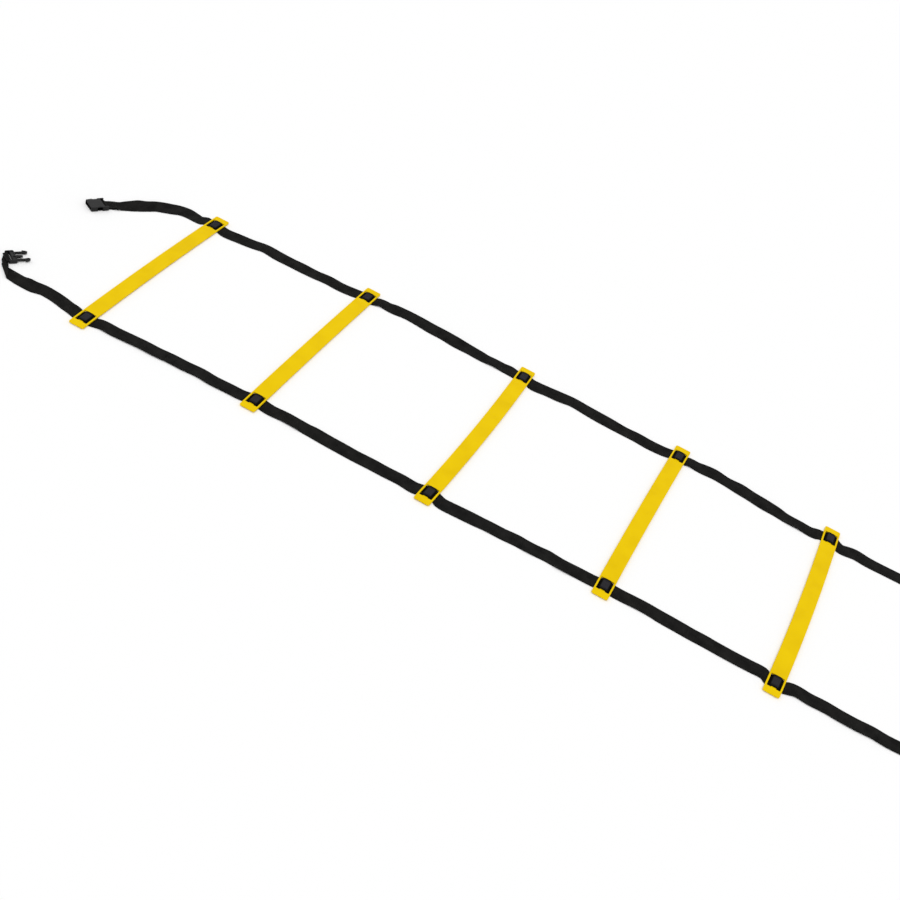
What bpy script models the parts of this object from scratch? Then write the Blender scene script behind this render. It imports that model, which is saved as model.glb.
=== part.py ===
"""Agility ladder laid out flat: eight slotted plastic rungs threaded on two webbing straps.

Metres, +Z up, +X along the ladder, +Y from the near strap to the far strap, floor at Z = 0.
Each rung has a tri-glide slot pair at either end. A strap runs under one rail of the slot, over
the middle bar and under the other rail, and is cut into one length for each rung, so that the
ladder can fold at the middle of every bay. Side-release buckles hang on the sewn strap ends.
"""
import math

import bmesh
import bpy
from mathutils import Matrix, Vector

# Webbing
WEB_WIDTH = 0.0305
WEB_THICK = 0.0013
FIT_GAP = 0.0003

# Rungs
RUNG_LENGTH = 0.510
RUNG_THICK = 0.0030
RUNG_CORNER = 0.0032
RUNG_EDGE = 0.0004
RAIL_WIDTH = 0.0032
SLOT_WIDTH = 0.0077
SLOT_CORNER = 0.0011
SLOT_PLAY = 0.0014
MIDDLE_BAR_WIDTH = 0.0092
END_MARGIN = 0.0146

# Bays from rung to rung: the first four are the ones that the photo shows
BAY = 0.345
BAY_SHARES = (1.0165, 1.033, 1.0025, 0.939, 1.0, 1.0, 1.0)

# How each rung lies: its shift across the ladder and the bow of its middle along the ladder,
# as shares of its width, and its turn in degrees
SHIFT_SHARES = (-0.55, 0.08, 0.06, 0.10, -0.345, -0.12, 0.16, 0.55)
BOW_SHARES = (-0.09, -0.05, 0.16, -0.055, 0.14, 0.06, -0.05, 0.09)
TURN_DEGREES = (0.0, -0.5, -0.95, -1.0, -1.2, 0.5, -0.4, 0.0)

# Where the straps lie at each quarter of each bay, as shares of the webbing's width
NEAR_SWAY_SHARES = ((-0.28, -0.12, -0.08), (0.07, -0.05, -0.03), (-0.08, 0.07, 0.05),
                    (0.13, -0.02, -0.05), (-0.15, -0.16, -0.20), (-0.10, 0.05, 0.12),
                    (0.10, 0.15, 0.33))
FAR_SWAY_SHARES = ((-0.41, -0.23, -0.08), (0.50, 0.36, 0.13), (0.10, 0.06, 0.0),
                   (0.25, -0.05, -0.43), (-0.64, -0.60, -0.40), (-0.15, 0.05, 0.12),
                   (0.12, 0.20, 0.40))

# Fold lines
FOLD_GAP = 0.0005
FOLD_CLEAR = 0.0006

# Side-release buckles, both halves: the webbing's bar between two lugs
BUCKLE_BAR_RADIUS = 0.00175
LOOP_ROOM = 0.00225
LOOP_WIDTH = 0.0266
LUG_WIDTH = 0.0026
LUG_PLAY = 0.0006
LUG_BACK = 0.0010
BODY_CORNER = 0.0025
BODY_EDGE = 0.0007

# Male half
MALE_THICK = 0.0080
BLOCK_DEPTH = 0.0084
PRONG_LENGTH = 0.0135
PRONG_WIDTH = 0.0050
PRONG_THICK = 0.0030
PRONG_TIP_WIDTH = 0.0034
PRONG_TAPER = 0.0060
PRONG_CORNER = 0.0010
GROOVE_WIDTH = 0.0018
GROOVE_DEPTH = 0.0008
GROOVE_END = 0.0025
POCKET_DEPTH = 0.0012
POCKET_WALL = 0.0016
ARM_PITCH = 0.0226
ARM_WIDTH = 0.0030
ARM_THICK = 0.0050
ARM_LENGTH = 0.0245
BARB_LENGTH = 0.0095
BARB_OUT = 0.0030
BARB_IN = 0.0012
BARB_WALL = 0.0018

# Female half
SOCKET_SIDE_PLAY = 0.0009
SOCKET_FLAT_PLAY = 0.0005
SOCKET_END_PLAY = 0.0018
SOCKET_FLOOR = 0.0030
FEMALE_WALL = 0.0017
MOUTH_WALL = 0.0017
SIDE_WINDOW_PLAY = 0.0025
GRIP_INSET = 0.0018

# Tails beyond the end rungs, measured from the end rung's middle
TAIL_CUT = 0.0450
MALE_CUT_SHARE = 0.30
FEMALE_CUT_SHARE = -0.14
MALE_TAIL_REACH = 0.1850
FEMALE_TAIL_REACH = 0.1927
FEMALE_TAIL_SWING = 0.1303

# How the male tail lies on the way to its crease, sideways at each quarter of the way, then the
# crease's middle and the places measured from it, all as shares of the webbing's width
MALE_SWAY_SHARES = (-0.16, -0.33, -0.31)
CREASE_SIDE_SHARE = -0.24
CREASE_TO_BAR_SHARES = (-0.72, 1.21)
LEAD_LEFT_SHARES = (-0.86, 0.89)
LEAD_RIGHT_SHARES = (-0.03, 0.58)
CREASE_HEADING = 139.0
MALE_HEADING = 53.0

# The female tail's route, as shares of the way along and across to its bar
FEMALE_ROUTE_SHARES = ((0.20, 0.04), (0.41, 0.22), (0.58, 0.41), (0.73, 0.63), (0.88, 0.83))
FEMALE_HEADING = 238.0

# Sewn ends
MALE_LEAD = 0.0046
MALE_SEWN_DROP = 0.0050
MALE_SEWN_LENGTH = 0.0015
FEMALE_LEAD = 0.0075
FEMALE_SEWN_DROP = 0.0080
FEMALE_SEWN_LENGTH = 0.0160

# Mesh fineness
SLOPE_ROWS = 6
QUARTER_ROWS = 3
BOW_STEPS = 8
LOOP_ROWS = 10
DROP_ROWS = 3
CREASE_ROWS = 5
CORNER_STEPS = 4
SLOT_STEPS = 2
BAR_SIDES = 20
CUT_OVERLAP = 0.0010
WELD_DISTANCE = 0.00001

# Sizes that follow from those above
RUNG_COUNT = len(SHIFT_SHARES)
UNDER_RUNG = WEB_THICK + FIT_GAP
WEB_MID = WEB_THICK / 2
SLOT_LENGTH = WEB_WIDTH + 2 * SLOT_PLAY
SLOTS_SPAN = MIDDLE_BAR_WIDTH + 2 * SLOT_WIDTH
RUNG_WIDTH = SLOTS_SPAN + 2 * RAIL_WIDTH
STRAP_Y = RUNG_LENGTH / 2 - END_MARGIN - SLOT_LENGTH / 2
WEAVE_TOP = UNDER_RUNG + RUNG_THICK + FIT_GAP + WEB_MID
LAYER_STEP = WEB_THICK + FIT_GAP
LOOP_RADIUS = BUCKLE_BAR_RADIUS + FIT_GAP + WEB_MID
BAR_HEIGHT = WEB_MID + LOOP_RADIUS
LUG_REAR = -BUCKLE_BAR_RADIUS - LUG_BACK
NOTCH_REACH = LOOP_RADIUS + WEB_MID + LOOP_ROOM
NOTCH_WIDTH = LOOP_WIDTH + 2 * LUG_PLAY
BUCKLE_WIDTH = NOTCH_WIDTH + 2 * LUG_WIDTH
SHOULDER = NOTCH_REACH + BLOCK_DEPTH
SOCKET_START = NOTCH_REACH + SOCKET_FLOOR
FEMALE_LENGTH = SOCKET_START + ARM_LENGTH + SOCKET_END_PLAY
SOCKET_WIDTH = ARM_PITCH + ARM_WIDTH + 2 * SOCKET_SIDE_PLAY
SOCKET_HEIGHT = ARM_THICK + 2 * SOCKET_FLAT_PLAY
FEMALE_THICK = SOCKET_HEIGHT + 2 * FEMALE_WALL
MOUTH_WIDTH = SOCKET_WIDTH + 2 * MOUTH_WALL
SIDE_WINDOW_START = FEMALE_LENGTH - ARM_LENGTH
SIDE_WINDOW_END = SIDE_WINDOW_START + BARB_LENGTH + SIDE_WINDOW_PLAY

MALE_CREASE = (-MALE_TAIL_REACH, -STRAP_Y + CREASE_SIDE_SHARE * WEB_WIDTH)
MALE_BAR = tuple(a + b * WEB_WIDTH for a, b in zip(MALE_CREASE, CREASE_TO_BAR_SHARES))
FEMALE_BAR = (-FEMALE_TAIL_REACH, STRAP_Y - FEMALE_TAIL_SWING)

COLOURS = {
    "rung_yellow": ((0.83, 0.58, 0.006), 0.42),
    "webbing_black": ((0.014, 0.013, 0.012), 0.85),
    "buckle_black": ((0.010, 0.010, 0.010), 0.45),
}


def smooth(t):
    """Ease from 0 to 1 with level ends."""
    t = min(max(t, 0.0), 1.0)
    return t * t * (3 - 2 * t)


def heading(degrees):
    """Unit vector on the floor at this angle from +X."""
    return Vector((math.cos(math.radians(degrees)), math.sin(math.radians(degrees)), 0.0))


# Scene, materials and small helpers

def clear_scene():
    for obj in list(bpy.data.objects):
        bpy.data.objects.remove(obj, do_unlink=True)


def make_collection(name):
    collection = bpy.data.collections.new(name)
    bpy.context.scene.collection.children.link(collection)
    return collection


def make_material(node_name, kind):
    """A material of its own for each sub-part."""
    colour, roughness = COLOURS[kind]
    material = bpy.data.materials.new(node_name + "_material")
    material.use_nodes = True
    shader = material.node_tree.nodes["Principled BSDF"]
    shader.inputs["Base Color"].default_value = (*colour, 1.0)
    shader.inputs["Roughness"].default_value = roughness
    shader.inputs["Metallic"].default_value = 0.0
    material.diffuse_color = (*colour, 1.0)
    return material


def add_object(name, mesh, kind, parent=None):
    """Link a mesh as a sub-part. Its coordinates are those of its parent, or the world's."""
    obj = bpy.data.objects.new(name, mesh)
    LADDER.objects.link(obj)
    obj.data.materials.append(make_material(name, kind))
    if parent is not None:
        obj.parent = parent
    return obj


def add_cutter(name, mesh, parent=None):
    obj = bpy.data.objects.new(name, mesh)
    CUTTERS.objects.link(obj)
    obj.hide_render = True
    obj.display_type = "WIRE"
    if parent is not None:
        obj.parent = parent
    return obj


def add_empty(name, place, parent=None):
    """An empty at this matrix, in its parent's coordinates."""
    empty = bpy.data.objects.new(name, None)
    LADDER.objects.link(empty)
    empty.empty_display_size = WEB_WIDTH
    empty.matrix_basis = place
    if parent is not None:
        empty.parent = parent
    return empty


def box_mesh(name, low, high):
    """A box between two corners."""
    work = bmesh.new()
    bmesh.ops.create_cube(work, size=1.0)
    low, high = Vector(low), Vector(high)
    middle = (low + high) / 2
    for vertex in work.verts:
        vertex.co = Vector(c * s for c, s in zip(vertex.co, high - low)) + middle
    return finish_mesh(name, work)


def rod_mesh(name, radius, length):
    """A rod along Y through the origin."""
    work = bmesh.new()
    turn = Matrix.Rotation(math.radians(90), 4, "X")
    bmesh.ops.create_cone(work, cap_ends=True, segments=BAR_SIDES, radius1=radius,
                          radius2=radius, depth=length, matrix=turn)
    return finish_mesh(name, work)


def finish_mesh(name, work):
    mesh = bpy.data.meshes.new(name)
    work.to_mesh(mesh)
    work.free()
    return mesh


def prism_mesh(name, outer, holes, thickness, edge=0.0):
    """A flat outline with holes as a plate of this thickness, centred on Z = 0."""
    curve = bpy.data.curves.new(name + "_outline", "CURVE")
    curve.dimensions = "2D"
    curve.fill_mode = "BOTH"
    curve.extrude = thickness / 2 - edge
    curve.bevel_depth = edge
    curve.bevel_resolution = 0
    curve.offset = -edge
    for points in [outer] + [hole[::-1] for hole in holes]:
        spline = curve.splines.new("POLY")
        spline.points.add(len(points) - 1)
        for point, (x, y) in zip(spline.points, points):
            point.co = (x, y, 0.0, 1.0)
        spline.use_cyclic_u = True
    source = bpy.data.objects.new(name + "_outline", curve)
    bpy.context.scene.collection.objects.link(source)
    bpy.context.view_layer.update()
    mesh = bpy.data.meshes.new_from_object(source)
    bpy.data.objects.remove(source, do_unlink=True)
    work = bmesh.new()
    work.from_mesh(mesh)
    bmesh.ops.remove_doubles(work, verts=work.verts, dist=WELD_DISTANCE)
    bmesh.ops.recalc_face_normals(work, faces=work.faces)
    bpy.data.meshes.remove(mesh)
    return finish_mesh(name, work)


def rounded(corners, radius, steps):
    """The outline through these corners, each rounded by an arc of this radius."""
    points = []
    count = len(corners)
    for index, corner in enumerate(corners):
        corner = Vector(corner)
        back = (Vector(corners[index - 1]) - corner).normalized()
        ahead = (Vector(corners[(index + 1) % count]) - corner).normalized()
        half = back.angle(ahead) / 2
        centre = corner + (back + ahead).normalized() * (radius / math.sin(half))
        start = corner + back * (radius / math.tan(half)) - centre
        end = corner + ahead * (radius / math.tan(half)) - centre
        sweep = start.angle_signed(end)
        for step in range(steps + 1):
            turned = Matrix.Rotation(-sweep * step / steps, 2) @ start
            points.append(tuple(centre + turned))
    return points


def rectangle(x_low, x_high, y_low, y_high):
    return [(x_low, y_low), (x_high, y_low), (x_high, y_high), (x_low, y_high)]


def ribbon(name, rows, parent):
    """Webbing through a list of rows, each a pair of edge points on the middle surface."""
    work = bmesh.new()
    last = len(rows) - 1
    bmesh.ops.create_grid(work, x_segments=last, y_segments=1, size=1.0)
    for vertex in work.verts:
        row = rows[round((vertex.co.x + 1) / 2 * last)]
        vertex.co = row[1] if vertex.co.y > 0 else row[0]
    obj = add_object(name, finish_mesh(name, work), "webbing_black", parent)
    solid = obj.modifiers.new("webbing_thickness", "SOLIDIFY")
    solid.thickness = WEB_THICK
    solid.offset = 0.0
    solid.use_even_offset = True
    return obj


def boolean(obj, operation, other):
    step = obj.modifiers.new(operation.lower(), "BOOLEAN")
    step.operation = operation
    step.solver = "EXACT"
    step.object = other


# Where the rungs and the fold lines are

def rung_places():
    """The middle of each rung on the floor, and its turn about Z."""
    bays = [BAY * share for share in BAY_SHARES]
    start = -sum(bays) / 2
    places = []
    for index in range(RUNG_COUNT):
        x = start + sum(bays[:index])
        y = RUNG_WIDTH * SHIFT_SHARES[index]
        turn = Matrix.Rotation(math.radians(TURN_DEGREES[index]), 4, "Z")
        places.append(Matrix.Translation((x, y, 0.0)) @ turn)
    return places


PLACES = rung_places()
FOLDS_X = [(a.translation.x + b.translation.x) / 2 for a, b in zip(PLACES, PLACES[1:])]
ROOT = RUNG_COUNT // 2 - 1


def fold_axis_height(index):
    """Bays fold upward and downward in turn. The axis clears the leaf faces that meet."""
    upward = (index - ROOT) % 2 == 0
    return WEAVE_TOP + WEB_MID + FOLD_CLEAR if upward else -FOLD_CLEAR


# Rungs

def bow_at(index, y):
    """How far a rung's bow carries a point at this place along the rung."""
    return RUNG_WIDTH * BOW_SHARES[index] * (1 - (2 * y / RUNG_LENGTH) ** 2)


def bowed(points, index):
    """An outline with its long sides divided and bent along the rung's bow."""
    bent = []
    for point, after in zip(points, points[1:] + points[:1]):
        steps = BOW_STEPS if abs(after[1] - point[1]) > RUNG_LENGTH / 2 else 1
        for step in range(steps):
            x = point[0] + (after[0] - point[0]) * step / steps
            y = point[1] + (after[1] - point[1]) * step / steps
            bent.append((x + bow_at(index, y), y))
    return bent


def slot_outlines(side):
    """The two slots of the tri-glide at one end of a rung."""
    middle = side * STRAP_Y
    y_low, y_high = middle - SLOT_LENGTH / 2, middle + SLOT_LENGTH / 2
    left = rectangle(-SLOTS_SPAN / 2, -MIDDLE_BAR_WIDTH / 2, y_low, y_high)
    right = rectangle(MIDDLE_BAR_WIDTH / 2, SLOTS_SPAN / 2, y_low, y_high)
    return [rounded(slot, SLOT_CORNER, SLOT_STEPS) for slot in (left, right)]


def build_rung(index, parent):
    name = f"rung_{index + 1}"
    half_x, half_y = RUNG_WIDTH / 2, RUNG_LENGTH / 2
    outer = rounded(rectangle(-half_x, half_x, -half_y, half_y), RUNG_CORNER, CORNER_STEPS)
    holes = [bowed(slot, index) for slot in slot_outlines(-1) + slot_outlines(1)]
    mesh = prism_mesh(name, bowed(outer, index), holes, RUNG_THICK, RUNG_EDGE)
    rung = add_object(name, mesh, "rung_yellow", parent)
    lift = Matrix.Translation((0.0, 0.0, UNDER_RUNG + RUNG_THICK / 2))
    rung.matrix_basis = parent_inverse(parent) @ PLACES[index] @ lift
    return rung


def parent_inverse(parent):
    """The matrix that takes world places to the parent's coordinates."""
    matrix = Matrix.Identity(4)
    while parent is not None:
        matrix = parent.matrix_basis @ matrix
        parent = parent.parent
    return matrix.inverted()


# Straps

def weave_rows(index, side):
    """Rows over one rung: flat, up through a slot, over the bar, down through the other slot."""
    inner = MIDDLE_BAR_WIDTH / 2 - FIT_GAP
    outer = SLOTS_SPAN / 2 + FIT_GAP
    flat = RUNG_WIDTH / 2 + FIT_GAP
    half = [inner + (outer - inner) * step / SLOPE_ROWS for step in range(SLOPE_ROWS + 1)]
    along = [-x for x in reversed(half)] + half
    rows = []
    for x in [-flat] + along + [flat]:
        z = WEAVE_TOP + (WEB_MID - WEAVE_TOP) * smooth((abs(x) - inner) / (outer - inner))
        row = []
        for y in (side * STRAP_Y - WEB_WIDTH / 2, side * STRAP_Y + WEB_WIDTH / 2):
            row.append(PLACES[index] @ Vector((x + bow_at(index, y), y, z)))
        rows.append(tuple(row))
    return rows


def bridge_rows(start, end, steps):
    """Rows between two rows, easing across the ladder, without either of them."""
    rows = []
    for step in range(1, steps):
        t = step / steps
        row = []
        for a, b in zip(start, end):
            point = a.lerp(b, t)
            point.y = a.y + (b.y - a.y) * smooth(t)
            row.append(point)
        rows.append(tuple(row))
    return rows


def sway_row(bay, side, quarter, gap=0.0):
    """The row at a quarter of a bay. At the fold line, half of the gap is taken off."""
    share = (FAR_SWAY_SHARES if side > 0 else NEAR_SWAY_SHARES)[bay][quarter - 1]
    middle = side * STRAP_Y + share * WEB_WIDTH
    start, end = PLACES[bay].translation.x, PLACES[bay + 1].translation.x
    x = start + (end - start) * quarter / 4 + gap
    return (Vector((x, middle - WEB_WIDTH / 2, WEB_MID)), Vector((x, middle + WEB_WIDTH / 2, WEB_MID)))


def cut_row(index, side, toward, gap=0.0):
    """The row where an end rung's strap length meets the tail, or the tail beyond the gap."""
    x = toward * (TAIL_CUT + gap)
    share = MALE_CUT_SHARE if side * toward > 0 else FEMALE_CUT_SHARE
    middle = side * STRAP_Y - toward * share * WEB_WIDTH
    low = Vector((x, middle - WEB_WIDTH / 2, WEB_MID))
    high = Vector((x, middle + WEB_WIDTH / 2, WEB_MID))
    return (PLACES[index] @ low, PLACES[index] @ high)


def build_strap(index, side, parent):
    """The length of one strap that belongs to one rung."""
    weave = weave_rows(index, side)
    before = [cut_row(index, side, -1)]
    after = [cut_row(index, side, 1)]
    if index > 0:
        before = [sway_row(index - 1, side, 2, FOLD_GAP / 2), sway_row(index - 1, side, 3)]
    if index < RUNG_COUNT - 1:
        after = [sway_row(index, side, 1), sway_row(index, side, 2, -FOLD_GAP / 2)]
    rows = []
    for start, end in zip(before, before[1:] + weave[:1]):
        rows += [start] + bridge_rows(start, end, QUARTER_ROWS)
    rows += weave
    for start, end in zip(weave[-1:] + after, after):
        rows += bridge_rows(start, end, QUARTER_ROWS) + [end]
    inverse = parent_inverse(parent)
    rows = [tuple(inverse @ point for point in row) for row in rows]
    word = "far" if side > 0 else "near"
    return ribbon(f"strap_{word}_{index + 1}", rows, parent)


# Tails: both ends of the ladder are alike, turned by half a turn

def end_matrix(right_end):
    """Takes the left end's tail coordinates, measured from rung 1, to the world."""
    x = PLACES[0].translation.x
    left = Matrix.Translation((x, 0.0, 0.0))
    return Matrix.Rotation(math.pi, 4, "Z") @ left if right_end else left


def flat_row(centre, across, width, z):
    """A row about a centre on the floor plan, along a unit direction."""
    middle = Vector((centre.x, centre.y, z))
    return (middle + across * width / 2, middle - across * width / 2)


def loop_rows(centre, way, sewn_height, sewn_drop, sewn_length):
    """The sewn loop about a buckle bar: round the bar, down on to the strap, and sewn flat."""
    across = Vector((-way.y, way.x, 0.0))
    rows = []
    for step in range(LOOP_ROWS + 1):
        angle = math.pi * step / LOOP_ROWS
        out = centre + way * (LOOP_RADIUS * math.sin(angle))
        rows.append(flat_row(out, across, LOOP_WIDTH, BAR_HEIGHT - LOOP_RADIUS * math.cos(angle)))
    top = BAR_HEIGHT + LOOP_RADIUS
    for step in range(1, DROP_ROWS + 1):
        t = step / DROP_ROWS
        back = centre - way * (sewn_drop * t)
        rows.append(flat_row(back, across, LOOP_WIDTH, top + (sewn_height - top) * smooth(t)))
    end = centre - way * (sewn_drop + sewn_length)
    rows.append(flat_row(end, across, LOOP_WIDTH, sewn_height))
    return rows


def tail_start(side):
    """The row where the left tails begin, with the gap to the strap length taken off."""
    back = Matrix.Translation((-PLACES[0].translation.x, 0.0, 0.0))
    return tuple(back @ point for point in cut_row(0, side, -1, FOLD_GAP))


def male_sway_row(first, share, part):
    """A row this part of the way to the crease, square across the strap."""
    start = (first[0] + first[1]) / 2
    x = start.x + (MALE_CREASE[0] - start.x) * part
    middle = -STRAP_Y + share * WEB_WIDTH
    return (Vector((x, middle + WEB_WIDTH / 2, WEB_MID)), Vector((x, middle - WEB_WIDTH / 2, WEB_MID)))


def male_tail_rows():
    """Along the floor in a slow wave, over a slanted crease, and round the male buckle's bar."""
    crease_way = heading(CREASE_HEADING)
    crease_width = WEB_WIDTH / abs(math.cos(math.radians(CREASE_HEADING - 90)))
    middle = Vector((*MALE_CREASE, 0.0))
    away = Vector((-crease_way.y, crease_way.x, 0.0))
    start = tail_start(-1)
    first = (start[1], start[0])
    crease = flat_row(middle, crease_way, crease_width, WEB_MID)
    stops = [first] + [male_sway_row(first, share, part / 4)
                       for part, share in enumerate(MALE_SWAY_SHARES, 1)] + [crease]
    rows = [first]
    for before, after in zip(stops, stops[1:]):
        rows += bridge_rows(before, after, QUARTER_ROWS) + [after]
    rows.pop()
    for step in range(CREASE_ROWS + 1):
        angle = math.pi * step / CREASE_ROWS
        out = middle + away * (LAYER_STEP / 2 * math.sin(angle))
        z = WEB_MID + LAYER_STEP / 2 * (1 - math.cos(angle))
        rows.append(flat_row(out, crease_way, crease_width, z))
    way = heading(MALE_HEADING)
    across = Vector((-way.y, way.x, 0.0))
    bar = Vector((*MALE_BAR, 0.0))
    rear = bar - way * MALE_LEAD
    height = Vector((0.0, 0.0, WEB_MID + LAYER_STEP))
    lead = [middle + height + Vector((*shares, 0.0)) * WEB_WIDTH
            for shares in (LEAD_LEFT_SHARES, LEAD_RIGHT_SHARES)]
    last = [point + height for point in flat_row(middle, crease_way, crease_width, 0.0)]
    rows.append(tuple(a.lerp(b, 0.5) for a, b in zip(last, lead)))
    rows.append(tuple(lead))
    rows.append(flat_row(rear, across, LOOP_WIDTH, WEB_MID + LAYER_STEP / 2))
    sewn_height = WEB_MID + 2 * LAYER_STEP
    return rows + loop_rows(bar, way, sewn_height, MALE_SEWN_DROP, MALE_SEWN_LENGTH)


def place_rows(rows, matrix, parent):
    """Rows taken by a matrix to the world and then to a parent's coordinates."""
    moved = parent_inverse(parent) @ matrix
    return [tuple(moved @ point for point in row) for row in rows]


def build_male_tail(name, matrix, parent):
    return ribbon(name, place_rows(male_tail_rows(), matrix, parent), parent)


def female_tail_rows():
    """A gentle bend on the floor from the end rung, and round the female buckle's bar."""
    start = tail_start(1)
    bar = Vector((*FEMALE_BAR, 0.0))
    way = heading(FEMALE_HEADING)
    middle = (start[0] + start[1]) / 2
    knots = [Vector((middle.x, middle.y, 0.0))]
    for along, across in FEMALE_ROUTE_SHARES:
        x = middle.x + (bar.x - middle.x) * along
        knots.append(Vector((x, middle.y + (bar.y - middle.y) * across, 0.0)))
    knots.append(bar)
    ways = [heading(180.0 + TURN_DEGREES[0])]
    for before, after in zip(knots, knots[2:]):
        ways.append((after - before).normalized())
    ways.append(way)
    rows = [start]
    for index in range(len(knots) - 1):
        reach = (knots[index + 1] - knots[index]).length
        leave, arrive = ways[index] * reach, ways[index + 1] * reach
        for t in (0.5, 1.0):
            point = hermite(knots[index], leave, knots[index + 1], arrive, t)
            along = ways[index].lerp(ways[index + 1], t).normalized()
            rows.append(flat_row(point, Vector((-along.y, along.x, 0.0)), WEB_WIDTH, WEB_MID))
    across = Vector((-way.y, way.x, 0.0))
    rows[-1] = flat_row(bar - way * FEMALE_LEAD, across, LOOP_WIDTH, WEB_MID)
    sewn_height = WEB_MID + LAYER_STEP
    return rows + loop_rows(bar, way, sewn_height, FEMALE_SEWN_DROP, FEMALE_SEWN_LENGTH)


def hermite(a, way_a, b, way_b, t):
    """A smooth curve from a to b that leaves and arrives along these ways."""
    square, cube = t * t, t * t * t
    return (a * (2 * cube - 3 * square + 1) + way_a * (cube - 2 * square + t)
            + b * (3 * square - 2 * cube) + way_b * (cube - square))


def build_female_tail(name, matrix, parent):
    return ribbon(name, place_rows(female_tail_rows(), matrix, parent), parent)


# Buckles: local X runs to the mating end, local Y lies along the bar, the bar is at the origin

def buckle_place(bar, degrees, matrix):
    """The world matrix of a buckle whose bar is at this place and heading."""
    turn = Matrix.Rotation(math.radians(degrees), 4, "Z")
    return matrix @ Matrix.Translation((bar[0], bar[1], BAR_HEIGHT)) @ turn


def body_block(name, outline, thick):
    """A buckle body's plate, from its underside on the floor up."""
    mesh = prism_mesh(name, outline, [], thick, BODY_EDGE)
    for vertex in mesh.vertices:
        vertex.co.z += thick / 2 - BAR_HEIGHT
    return mesh


def add_bar(name, obj, thick, parent):
    """Cut the webbing slot at the rear of a body and put the round bar across it."""
    low = (-NOTCH_REACH, -NOTCH_WIDTH / 2, -BAR_HEIGHT - CUT_OVERLAP)
    high = (NOTCH_REACH, NOTCH_WIDTH / 2, thick - BAR_HEIGHT + CUT_OVERLAP)
    notch = add_cutter(name + "_slot_cutter", box_mesh(name + "_slot", low, high), parent)
    boolean(obj, "DIFFERENCE", notch)
    rod = rod_mesh(name + "_bar", BUCKLE_BAR_RADIUS, NOTCH_WIDTH + 2 * CUT_OVERLAP)
    boolean(obj, "UNION", add_cutter(name + "_bar_cutter", rod, parent))


def cut_box(name, obj, low, high, parent):
    """Take the box between two corners out of a body."""
    cutter = add_cutter(name + "_cutter", box_mesh(name, low, high), parent)
    boolean(obj, "DIFFERENCE", cutter)


def prong_mesh(name):
    """The guide prong between the arms, with its tapered end."""
    start = SHOULDER - CUT_OVERLAP
    end = SHOULDER + PRONG_LENGTH
    half, tip = PRONG_WIDTH / 2, PRONG_TIP_WIDTH / 2
    corners = [(start, -half), (end - PRONG_TAPER, -half), (end, -tip),
               (end, tip), (end - PRONG_TAPER, half), (start, half)]
    return prism_mesh(name, rounded(corners, PRONG_CORNER, SLOT_STEPS), [], PRONG_THICK)


def build_male(name, parent):
    """The male body: block, webbing slot and bar, grooved guide prong and moulding pockets."""
    half = BUCKLE_WIDTH / 2
    outline = rounded(rectangle(LUG_REAR, SHOULDER, -half, half), BODY_CORNER, CORNER_STEPS)
    body = add_object(name, body_block(name, outline, MALE_THICK), "buckle_black", parent)
    add_bar(name, body, MALE_THICK, parent)
    middle = MALE_THICK / 2 - BAR_HEIGHT
    shape = prong_mesh(name + "_prong")
    for vertex in shape.vertices:
        vertex.co.z += middle
    boolean(body, "UNION", add_cutter(name + "_prong_cutter", shape, parent))
    groove_end = SHOULDER + PRONG_LENGTH - GROOVE_END
    low = (SHOULDER, -GROOVE_WIDTH / 2, middle + PRONG_THICK / 2 - GROOVE_DEPTH)
    high = (groove_end, GROOVE_WIDTH / 2, middle + PRONG_THICK / 2 + CUT_OVERLAP)
    cut_box(name + "_groove", body, low, high, parent)
    top = MALE_THICK - BAR_HEIGHT
    for word, side in (("a", 1), ("b", -1)):
        inner, outer = side * PRONG_WIDTH / 2, side * (half - BODY_CORNER)
        low = (NOTCH_REACH + POCKET_WALL, min(inner, outer), top - POCKET_DEPTH)
        high = (SHOULDER - POCKET_WALL, max(inner, outer), top + CUT_OVERLAP)
        cut_box(f"{name}_pocket_{word}", body, low, high, parent)
    return body


def arm_outline(side):
    """An arm from its rounded root to its leaf-shaped barb. The origin is the root's hinge axis."""
    half = ARM_WIDTH / 2
    reach = ARM_LENGTH - half
    barb = reach - BARB_LENGTH
    root = [(-half * math.sin(math.pi * step / 6), half * math.cos(math.pi * step / 6))
            for step in range(7)]
    tip = [(barb, -half), (barb + BARB_IN, -half - BARB_IN / 2), (reach - BARB_OUT, -half - BARB_IN),
           (reach - BARB_IN, -half), (reach, -BARB_IN / 2), (reach, BARB_IN / 2),
           (reach - BARB_IN, half), (reach - BARB_OUT, half + BARB_IN),
           (barb + BARB_OUT, half + BARB_OUT - BARB_IN / 2), (barb + BARB_IN, half + BARB_OUT),
           (barb, half + BARB_OUT), (barb, half)]
    points = root + tip
    return [(x, side * y) for x, y in points][::side]


def barb_hole(side):
    """The opening in the middle of the barb."""
    half = ARM_WIDTH / 2
    end = ARM_LENGTH - half
    start = end - BARB_LENGTH
    hole = [(start + BARB_WALL, -half - BARB_IN / 2 + BARB_WALL),
            (end - BARB_OUT, -half - BARB_IN + BARB_WALL),
            (end - BARB_WALL, 0.0), (end - BARB_OUT, half + BARB_IN - BARB_WALL),
            (start + BARB_WALL, half + BARB_OUT - BARB_WALL)]
    return [(x, side * y) for x, y in hole][::side]


def build_arm(name, side, parent):
    """One spring arm of a male buckle, hinged at its root."""
    mesh = prism_mesh(name, arm_outline(side), [barb_hole(side)], ARM_THICK, BODY_EDGE / 2)
    arm = add_object(name, mesh, "buckle_black", parent)
    root = SHOULDER + FIT_GAP + ARM_WIDTH / 2
    arm.location = (root, side * ARM_PITCH / 2, MALE_THICK / 2 - BAR_HEIGHT)
    return arm


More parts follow.
